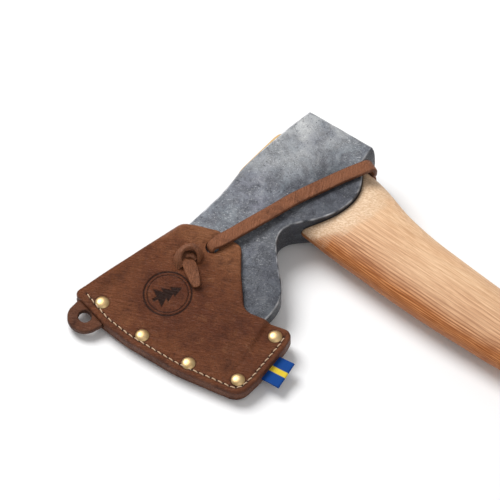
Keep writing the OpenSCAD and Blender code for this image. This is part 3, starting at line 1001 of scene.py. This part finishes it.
def outer_face(points, rim_gap, front):
    """Half height of the outer face: rounded rims, sunk stitches, rivet dimples and the emblem."""
    z = panel_height(points, inner=False)
    z = z - rim_drop(PANEL_RIM, rim_gap) * share(z / 4.0)
    loose = share((rim_gap - 3) / 12)
    z = z - creases(points) * loose * share(z / 5)
    gap, s = distance_to(points, SEAM)
    beat = stitch_beat(s)
    on_seam = (s > 0.5) & (s < lengths_along(SEAM)[-1] - 0.5)
    z = z - on_seam * bell(gap, 0.75) * (0.22 + 0.55 * beat ** 4)
    for rivet in RIVETS:
        z = z - 0.45 * bell(np.linalg.norm(points - rivet, axis=1) - RIVET_D / 2 - 0.1, 1.1)
    hole = np.linalg.norm(points - STRAP_HOLE, axis=1)
    z = z - 0.5 * bell(hole - 5.0, 1.2)
    if front:
        z = z - 0.62 * emblem_depth(points)
    return z


def leather_marks(points, rim_gap, front):
    """Darker and lighter places of the outer face, painted shade among them."""
    gap, s = distance_to(points, SEAM)
    beat = stitch_beat(s)
    # Painted shade: darker in the stitch holes and along the seam, at the rim, round the rivets and in the
    # creases; the emblem's pressed lines are darkened as well.
    shade = 1.0 * bell(gap, 0.80) * (0.25 + 0.75 * beat) + 0.22 * bell(rim_gap, 0.9)
    for rivet in RIVETS:
        shade = shade + 0.45 * bell(np.linalg.norm(points - rivet, axis=1) - RIVET_D / 2, 0.9)
    if front:
        shade = shade + 0.98 * emblem_depth(points)
    shade = shade + 0.30 * share(creases(points) / 1.2)
    spot = at_height(points, 0.0)
    b = points[:, 1]
    wear = 0.35 * share(1 - rim_gap / 6) * (b < 125) * share(0.6 + wobble(spot, 10, 2))
    tone = 0.10 + 0.72 * share((b - 108) / 44) - 0.22 * share((b - 172) / 20)
    return {"shade": np.clip(shade, 0, 0.98), "wear": np.clip(wear, 0, 0.6), "tone": share(tone)}


def ring_points(centre, radius, step):
    n = max(8, int(2 * math.pi * radius / step))
    t = np.linspace(0, 2 * math.pi, n, endpoint=False)
    return centre + radius * np.column_stack([np.cos(t), np.sin(t)])


def make_sheath():
    outline = rounded(SHEATH_CORNERS, 0.8)
    outline = evenly(outline, 1.15, closed=True)
    depth = fold_depth(outline)
    outline = np.where((depth < 0.25)[:, None], outline - INTO * depth[:, None], outline)
    depth = fold_depth(outline)
    # Start the outline at the bottom end of the fold, so that its free rim is one unbroken run
    on_fold = depth < 1e-6
    first = next(i for i in range(len(outline)) if on_fold[i] and not on_fold[i - 1])
    outline = np.roll(outline, -first, axis=0)
    on_fold = np.roll(on_fold, -first)
    free = np.vstack([outline[np.flatnonzero(on_fold)[-1]:], outline[:1]])
    hole = ring_points(STRAP_HOLE, STRAP_HOLE_R, 0.9)
    fold_rows = np.vstack([
        FOLD_TOP + FOLD_WAY * s + INTO * d
        for d in (0.04, 0.15, 0.35, 0.65, 1.1, 1.7, 2.4, 3.2, 4.2, 5.4, 6.8)
        for s in np.arange(-12, 84, 1.15)
    ])

    def extras(spacing, fine):
        rims = free[1:-1]
        normal = side_of(free)[1:-1]
        if not inside(rims[20:21] + normal[20:21] * 0.5, outline)[0]:
            normal = -normal
        rows = [rims + normal * t for t in (0.15, 0.45, 0.9, 1.5)]
        seam_side = side_of(evenly(SEAM, 0.75))
        if fine:
            rows += [evenly(SEAM, 0.75) + seam_side * t for t in (-1.3, -0.6, 0, 0.6, 1.3)]
            rows += [ring_points(r, RIVET_D / 2 + k, 1.1) for r in RIVETS for k in (-1.0, 0.1, 1.2)]
        rows += [ring_points(STRAP_HOLE, STRAP_HOLE_R + k, 1.0) for k in (0.5, 1.2)]
        rows.append(fold_rows)
        special = np.vstack(rows)
        rim = distance_to(special, free)[0]
        special = special[inside(special, outline) & (rim > 0.1)
                          & (np.linalg.norm(special - STRAP_HOLE, axis=1) > 4.9)]

        def clear(p):
            keep = fold_depth(p) > 7.4
            keep &= np.linalg.norm(p - STRAP_HOLE, axis=1) > 6.2
            if fine:
                keep &= distance_to(p, SEAM)[0] > 1.9
                keep &= np.linalg.norm(p - EMBLEM_AT, axis=1) > EMBLEM_R + 1.6
            return keep

        points = [special, grid_in(outline, spacing, 2.2, clear)]
        if fine:
            disc = ring_points(EMBLEM_AT, EMBLEM_R + 1.5, 2.0)
            points.append(grid_in(disc, 0.42, 0.2))
        return np.vstack(points)

    skin = Skin()
    for sign in (1, -1):
        points, tris = triangulate(outline, [hole], extras(1.7, sign > 0))
        rim = distance_to(points, free)[0]
        z = outer_face(points, rim, sign > 0)
        z = np.where(fold_depth(points) < 1e-6, 0, np.maximum(z, 0))
        skin.add(at_height(points, sign * z), tris, **leather_marks(points, rim, sign > 0))
    points, tris = triangulate(outline, [hole], extras(2.2, False))
    shift = np.clip(LEATHER_T - fold_depth(points), 0, None)
    inner = points + INTO * shift[:, None]
    for sign in (1, -1):
        z = inner_face(inner)
        skin.add(at_height(inner, sign * z), tris, shade=0.12, wear=0.25, tone=0.3)
    # The rim walls are darkened with painted shade.
    for loop, closed in ((free, False), (hole, True)):
        for sign in (1, -1):
            skin.strip(rim_wall(loop, sign, free), closed=closed, shade=0.35, wear=0, tone=0.8)
    sheath = skin.object("sheath_folded", LEATHER, merge=0.004, sharp=60)
    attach(sheath, "sheath")
    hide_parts("sheath_leather")


def inner_face(points):
    z = panel_height(points, inner=True)
    return np.where(fold_depth(points) <= LEATHER_T + 1e-6, 0, np.maximum(z, 0))


def rim_wall(loop, sign, free):
    """Rows from the outer face's rim down to the inner face's."""
    rim = distance_to(loop, free)[0]
    top = outer_face(loop, rim, sign > 0)
    top = np.where(fold_depth(loop) < 1e-6, 0, np.maximum(top, 0))
    shift = np.clip(LEATHER_T - fold_depth(loop), 0, None)
    inner = loop + INTO * shift[:, None]
    low = inner_face(inner)
    return [
        np.column_stack([loop * (1 - t) + inner * t, sign * (top * (1 - t) + low * t)])
        for t in (0, 0.33, 0.67, 1)
    ]


make_sheath()

# ---------------------------------------------------------------- trim on the sheath

TAB_HOLE = np.array([-89.6, 201.9])
TAB_R = 11.5


def slab(name, outline, hole, half, rim, material, step=1.6):
    """A flat piece with rounded rims and one round hole."""
    inward = inward_of(outline)
    centre = hole.mean(0)
    offsets = (0.15, 0.4, 0.75, 1.1)
    rings = [outline + inward * t for t in offsets]
    rings += [centre + (hole - centre) * (1 + t / np.linalg.norm(hole[0] - centre)) for t in offsets]
    extra = np.vstack(rings)
    extra = extra[inside(extra, outline) & ~inside(extra, hole)]
    extra = extra[distance_to(extra, outline, closed=True)[0] > 0.12]
    grid = grid_in(outline, step, 1.5, lambda p: ~inside(p, centre + (hole - centre) * 1.45))
    points, tris = triangulate(outline, [hole], np.vstack([extra, grid]))
    gap = np.minimum(*(distance_to(points, loop, closed=True)[0] for loop in (outline, hole)))
    drop = rim_drop(rim, gap)
    # The rims and walls are darkened with painted shade.
    skin = Skin()
    for sign in (1, -1):
        spot = at_height(points, 30.0 * sign)
        z = half - drop - 0.12 * share(wobble(spot, 7, 11)) * share(gap / 2)
        skin.add(at_height(points, sign * z), tris, shade=0.35 * bell(gap, 0.6), wear=0)
    edge = half - rim
    for loop in (outline, hole):
        rows = [at_height(loop, z) for z in np.linspace(edge, -edge, 5)]
        skin.strip(rows, closed=True, shade=0.35, wear=0)
    return skin.object(name, material, merge=0.004, sharp=60)


def make_tab():
    arc = [TAB_HOLE + TAB_R * np.array([math.cos(t), math.sin(t)])
           for t in np.linspace(math.pi, math.radians(28), 26)]
    neck = [[-76.5, 201], [-80, 187.5], [-92, 183.5], [-97, 186.5], [-99.6, 191.5]]
    outline = evenly(np.vstack([arc, neck]), 1.0, closed=True)
    hole = ring_points(TAB_HOLE, 4.3, 0.8)
    tab = slab("tab_loop", outline, hole, RIM_HALF, 0.9, EDGE)
    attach(tab, "sheath")
    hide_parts("hanging_tab")


def lathe(skin, centre, profile, sign, turns=40, **marks):
    """A closed round piece from a profile of [radius, height], first and last points on the axis."""
    t = np.linspace(0, 2 * math.pi, turns, endpoint=False)
    rows = [
        np.column_stack([centre[0] + r * np.cos(t), centre[1] + r * np.sin(t), np.full(turns, sign * z)])
        for r, z in profile
    ]
    skin.strip(rows, closed=True, **marks)


def make_rivets():
    """A satin dome with a thin flange on each front, and a low dome on each back."""
    cap = [[1e-4, 1.70], [0.8, 1.68], [1.7, 1.58], [2.6, 1.36], [3.3, 1.08], [3.85, 0.76], [4.2, 0.48],
           [4.38, 0.30], [4.52, 0.22], [4.6, 0.08], [4.58, -0.1], [4.4, -0.2], [1.5, -0.2]]
    post = [[1.5, -3], [1.5, -9.9], [1e-4, -9.9]]
    base = [[1e-4, 1.17], [1.6, 1.10], [2.9, 0.84], [3.8, 0.5], [4.3, 0.26], [4.56, 0.1], [4.55, -0.08],
            [4.3, -0.15], [1e-4, -0.15]]
    for k, rivet in enumerate(RIVETS, 1):
        for kind, profile, sign in (("cap", cap + post, 1), ("base", base, -1)):
            skin = Skin()
            lathe(skin, rivet, [[r, z + STACK_HALF] for r, z in profile], sign)
            piece = skin.object(f"rivet_{kind}_{k}_domed", BRASS, merge=0.001, sharp=45)
            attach(piece, "sheath")
            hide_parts(f"rivet_{kind}_{k}")


def sweep(skin, path, wide, thin, half_w, half_t, power=4.0, sides=20, **marks):
    """A closed band along a path [a, b, z]. wide and thin are its axes at each point."""
    n = len(path)
    half_w = np.broadcast_to(half_w, n)
    half_t = np.broadcast_to(half_t, n)
    t = np.linspace(0, 2 * math.pi, sides, endpoint=False) + math.pi / sides
    c, d = boxy(np.cos(t), power), boxy(np.sin(t), power)
    rows = [
        path[i] + np.outer(c * half_w[i], wide[i]) + np.outer(d * half_t[i], thin[i]) for i in range(n)
    ]
    caps = [[path[0] + (rows[0] - path[0]) * k for k in (1e-3, 0.5)],
            [path[-1] + (rows[-1] - path[-1]) * k for k in (0.5, 1e-3)]]
    for name, value in marks.items():
        value = np.pad(np.broadcast_to(np.asarray(value, float), n), 2, mode="edge")
        marks[name] = np.repeat(value, sides)
    skin.strip([*caps[0], *rows, *caps[1]], closed=True, **marks)


def square_to(way, lean):
    """Unit vectors square to `way`, leaning to `lean`."""
    return unit(lean - (lean * way).sum(1)[:, None] * way)


def frames(path, lean):
    """Axes of a band along a path: wide across it, and thin out of it and leaning to `lean`."""
    way = unit(np.gradient(path, axis=0))
    thin = square_to(way, lean)
    return np.cross(way, thin), thin


def make_stitches():
    s_all = lengths_along(SEAM)

    def seam_at(s):
        return np.array([np.interp(s, s_all, SEAM[:, i]) for i in (0, 1)])

    for side, sign in (("front", 1), ("back", -1)):
        skin = Skin()
        for k in range(int(s_all[-1] / STITCH_PITCH)):
            s = (k + 0.5) * STITCH_PITCH
            at = seam_at(s)
            if min(np.linalg.norm(at - r) for r in RIVETS) < RIVET_D / 2 - UNDER_CAP:
                continue
            way = unit(seam_at(s + 0.4) - at)
            turn = STITCH_LEAN
            way = np.array([way[0] * math.cos(turn) - way[1] * math.sin(turn),
                            way[0] * math.sin(turn) + way[1] * math.cos(turn)])
            u = np.linspace(-1, 1, 9)
            flat = at + np.outer(u * STITCH_HALF, way)
            level = panel_height(at[None], False)[0]
            z = level - 0.02 - 0.75 * u ** 4 + 0.06 * (1 - u ** 2)
            path = at_height(flat, sign * z)
            wide, thin = frames(path, np.tile([0, 0, float(sign)], (9, 1)))
            girth = 0.40 * np.sqrt(np.clip(1 - 0.75 * u ** 6, 0.1, 1))
            sweep(skin, path, wide, thin, girth, girth * 0.85, power=2.2, sides=10)
        thread = skin.object(f"{side}_thread", THREAD, merge=0.0005, sharp=60)
        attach(thread, "sheath")
        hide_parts(f"{side}_stitching")


make_tab()
make_rivets()
make_stitches()

# ---------------------------------------------------------------- strap and knot

STRAP_WAY = unit(np.array([0.431, -0.902]))
STRAP_ACROSS = np.array([0.902, 0.431])
STRAP_W = 9.0
STRAP_T = 3.0
STRAP_HIGH = 18.3


def make_strap():
    """A flat strap from the front hole, round below the poll and back to the hole behind."""
    side = [[-1.4, 7.4, 0], [-1.4, 13.4, 3.2], [15, 14.2, 20], [60, STRAP_HIGH, 40],
            [118.4, STRAP_HIGH, 4.5], [120.3, 4, 20]]
    front = rounded(side + [[120.3, -30, 0]], 0.6, closed=False)[:-1]
    front = front[front[:, 1] > 0]
    front = np.vstack([evenly(front, 1.1), [[120.3, 0.0]]])
    both = np.vstack([front, front[-2::-1] * [1, -1]])
    both = evenly(both, 1.1)
    s, z = both[:, 0], both[:, 1]
    slip = 3.6 * share((s - 62) / 56) ** 2
    low = np.where(s > 100, share(1 - np.abs(z) / 17), 0)
    slip = slip * (1 - low ** 1.5) - 0.5 * low ** 1.5
    ripple = 0.25 * wobble(np.column_stack([s, z * 0.2, z * 0]), 24, 7) * bell(s - 60, 45)
    plan = STRAP_HOLE + np.outer(s, STRAP_WAY) + np.outer(slip + ripple, STRAP_ACROSS)
    path = at_height(plan, z)
    way = unit(np.gradient(path, axis=0))
    wide = square_to(way, np.tile(np.append(STRAP_ACROSS, 0.0), (len(path), 1)))
    thin = np.cross(way, wide)
    narrow = STRAP_W / 2 - 1.3 * bell(s + 1.4, 4.5) - 0.75 * low
    skin = Skin()
    sweep(skin, path, wide, thin, narrow, STRAP_T / 2, power=6.0, sides=36, shade=0, wear=0)
    strap = skin.object("strap_loop_leather", STRAP, merge=0.004, sharp=50)
    mark_edges(strap, "shade", path, wide, 0.38)
    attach(strap, "strap_loop")
    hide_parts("strap")


def mark_edges(obj, name, path, wide, amount):
    """Darkens a band's cut edges with painted shade."""
    p = plan_of(np.array([v.co for v in obj.data.vertices]))
    near = np.array([np.argmin(((path - q) ** 2).sum(1)) for q in p])
    out = np.abs(((p - path[near]) * wide[near]).sum(1))
    level = amount * share((out - 3.6) / 0.7)
    obj.data.attributes[name].data.foreach_set("value", level.astype(np.float32))


def make_knot():
    """The strap's end passes through a slit in itself: a curled band with a pointed tail under it."""
    skin = Skin()
    turn = smooth([[-48.6, 130.6, 8.6], [-48.8, 128.4, 13.0], [-51.8, 126.6, 16.0], [-56.2, 126.9, 16.9],
                   [-59.6, 130.2, 16.2], [-60.6, 135.0, 14.4], [-58.9, 139.2, 12.2], [-55.2, 140.6, 10.2]], 7)
    centre = np.array([-54.4, 133.8])
    lean = at_height(unit(turn[:, :2] - centre) * 0.75, 0.75)
    wide, thin = frames(turn, lean)
    u = np.linspace(0, 1, len(turn))
    sweep(skin, turn, wide, thin, 3.1 + 0.5 * np.sin(u * math.pi), 1.25, power=4.5, sides=24,
          shade=0.1 + 0.25 * u, wear=0)
    # The tuck under the turn is darkened with painted shade.
    tuck = smooth([[-50.2, 131.0, 12.2], [-53.5, 131.2, 14.2], [-57.0, 133.6, 13.6],
                   [-57.6, 137.0, 11.4]], 7)
    wide, thin = frames(tuck, np.tile([0.35, -0.35, 0.8], (len(tuck), 1)))
    sweep(skin, tuck, wide, thin, 2.6, 1.1, power=4.0, sides=20, shade=0.45, wear=0)
    tail = smooth([[-56.2, 133.6, 11.7], [-52.2, 136.6, 12.3], [-48.4, 139.6, 12.2], [-44.2, 143.0, 11.5],
                   [-40.6, 146.0, 11.0], [-38.4, 147.9, 10.7]], 8)
    wide, thin = frames(tail, np.tile([0.0, 0.0, 1.0], (len(tail), 1)))
    v = np.linspace(0, 1, len(tail))
    width = np.interp(v, [0, 0.25, 0.42, 0.8, 0.93, 0.98, 1], [3.0, 4.4, 4.5, 3.2, 2.6, 1.8, 0.9])
    thick = np.interp(v, [0, 0.9, 1], [1.35, 1.3, 1.0])
    sweep(skin, tail, wide, thin, width, thick, power=4.5, sides=24, shade=0.12, wear=0)
    knot = skin.object("knot_tied", STRAP, merge=0.003, sharp=50)
    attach(knot, "sheath")
    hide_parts("strap_knot")


make_strap()
make_knot()

# ---------------------------------------------------------------- label

LABEL_AT = np.array([26.5, 177.0])
LABEL_SIZE = (17.5, 20.5)
LABEL_TURN = math.radians(-3)
RIBBON_HALF = 0.22


def make_label():
    """A woven ribbon folded in two, its ends sewn between the panels and its fold standing out."""
    across_way = np.array([-math.sin(LABEL_TURN), math.cos(LABEL_TURN)])
    out_way = np.array([math.cos(LABEL_TURN), math.sin(LABEL_TURN)])
    low = LABEL_AT - across_way * LABEL_SIZE[1]
    reach = LABEL_SIZE[0] - 0.2
    half_loop = [[0, 0.28], [6, 0.30], [10, 0.34], [reach - 2.6, 0.46], [reach - 1.2, 0.60],
                 [reach - 0.35, 0.46]]
    loop = np.array(half_loop + [[reach, 0.0]] + [[u, -z] for u, z in half_loop[::-1]])
    loop = smooth(loop, 5)
    normal = turned_left(unit(np.gradient(loop, axis=0)))
    skin = Skin()
    columns = np.linspace(0, 1, 25)
    for offset in (RIBBON_HALF, -RIBBON_HALF):
        rows = []
        for v in columns:
            curl = 0.8 * share((loop[:, 0] - 7) / 10) ** 2 * (0.4 - v) + 0.15 * math.sin(9 * v)
            q = loop + normal * offset
            plan = low + np.outer(q[:, 0], out_way) + across_way * LABEL_SIZE[1] * (0.01 + 0.98 * v)
            rows.append(np.column_stack([plan, q[:, 1] + curl * share((loop[:, 0] - 7) / 4)]))
        skin.strip(rows, across=np.repeat(columns, len(loop)))
    n, m = len(loop), len(columns)
    base = n * m
    edges = []
    for i in range(n - 1):
        for c in (0, m - 1):
            edges.append((c * n + i, c * n + i + 1, base + c * n + i + 1, base + c * n + i))
    for j in range(m - 1):
        for c in (0, n - 1):
            edges.append((j * n + c, (j + 1) * n + c, base + (j + 1) * n + c, base + j * n + c))
    skin.faces += edges
    label = skin.object("label_ribbon", RIBBON, merge=0.002, sharp=50)
    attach(label, "sheath")
    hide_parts("label_tag")


RIBBON = ribbon_look(0.40, 0.60, 3)
make_label()
